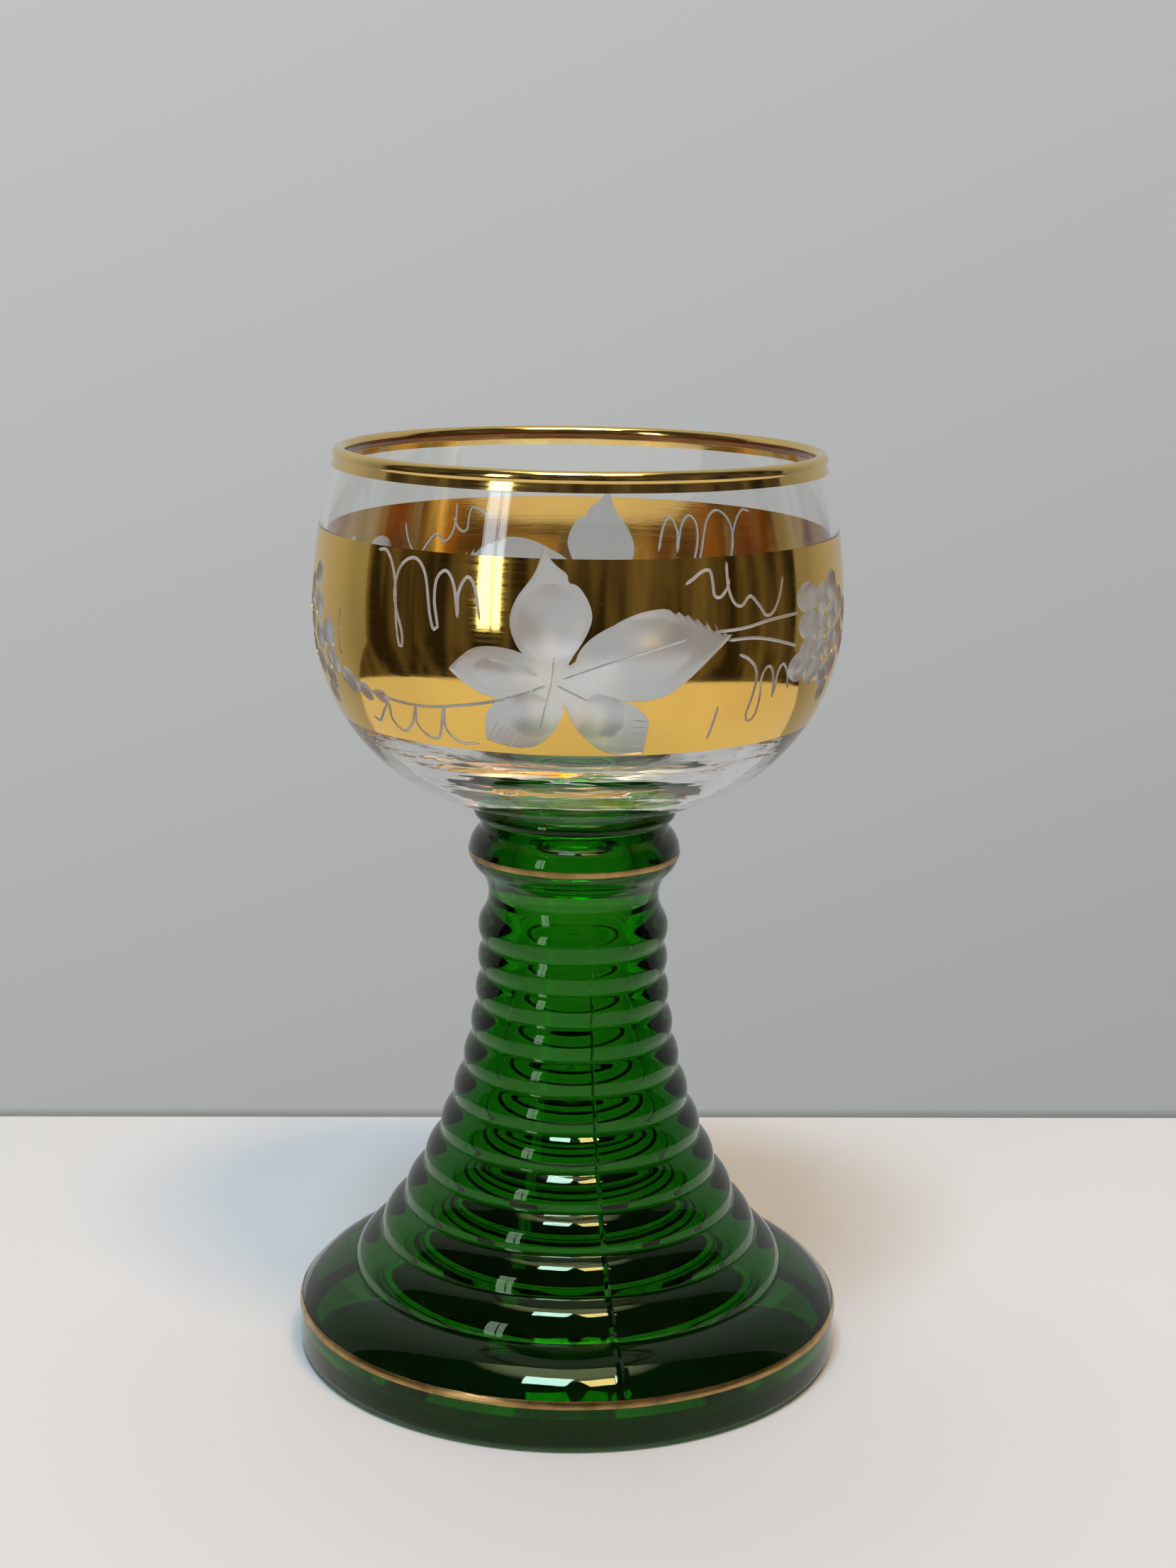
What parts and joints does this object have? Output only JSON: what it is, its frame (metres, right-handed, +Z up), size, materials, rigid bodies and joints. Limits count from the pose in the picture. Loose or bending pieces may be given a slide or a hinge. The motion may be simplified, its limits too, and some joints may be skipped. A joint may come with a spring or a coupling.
{
  "type": "roemer wine glass",
  "caption": "Clear wine bowl with gilt lip and gilt vine-leaf band, fused on a green ribbed, flared, hollow foot with fine gold lines; stands on a flat ring.",
  "frame": {"origin": "middle of the ring that the glass stands on, at table height", "axes": "+Z up along the axis of turning, -Y to the front of the picture, where the vine leaf is"},
  "size_m": [0.0722, 0.0722, 0.1201],
  "materials": {
    "clear_glass": "polished clear glass, matt where the motif is cut",
    "green_glass": "polished bottle-green pressed glass",
    "rim_gold": "burnished gold, slightly worn",
    "band_gold": "bright burnished gold",
    "line_gold": "satin copper-gold, slightly worn"
  },
  "bodies": {
    "root": {"bowl": "clear_glass", "ribbed_foot": "green_glass", "gilt_rim": "rim_gold", "gilt_band": "band_gold", "collar_line": "line_gold", "foot_line": "line_gold"}
  },
  "joints": []
}
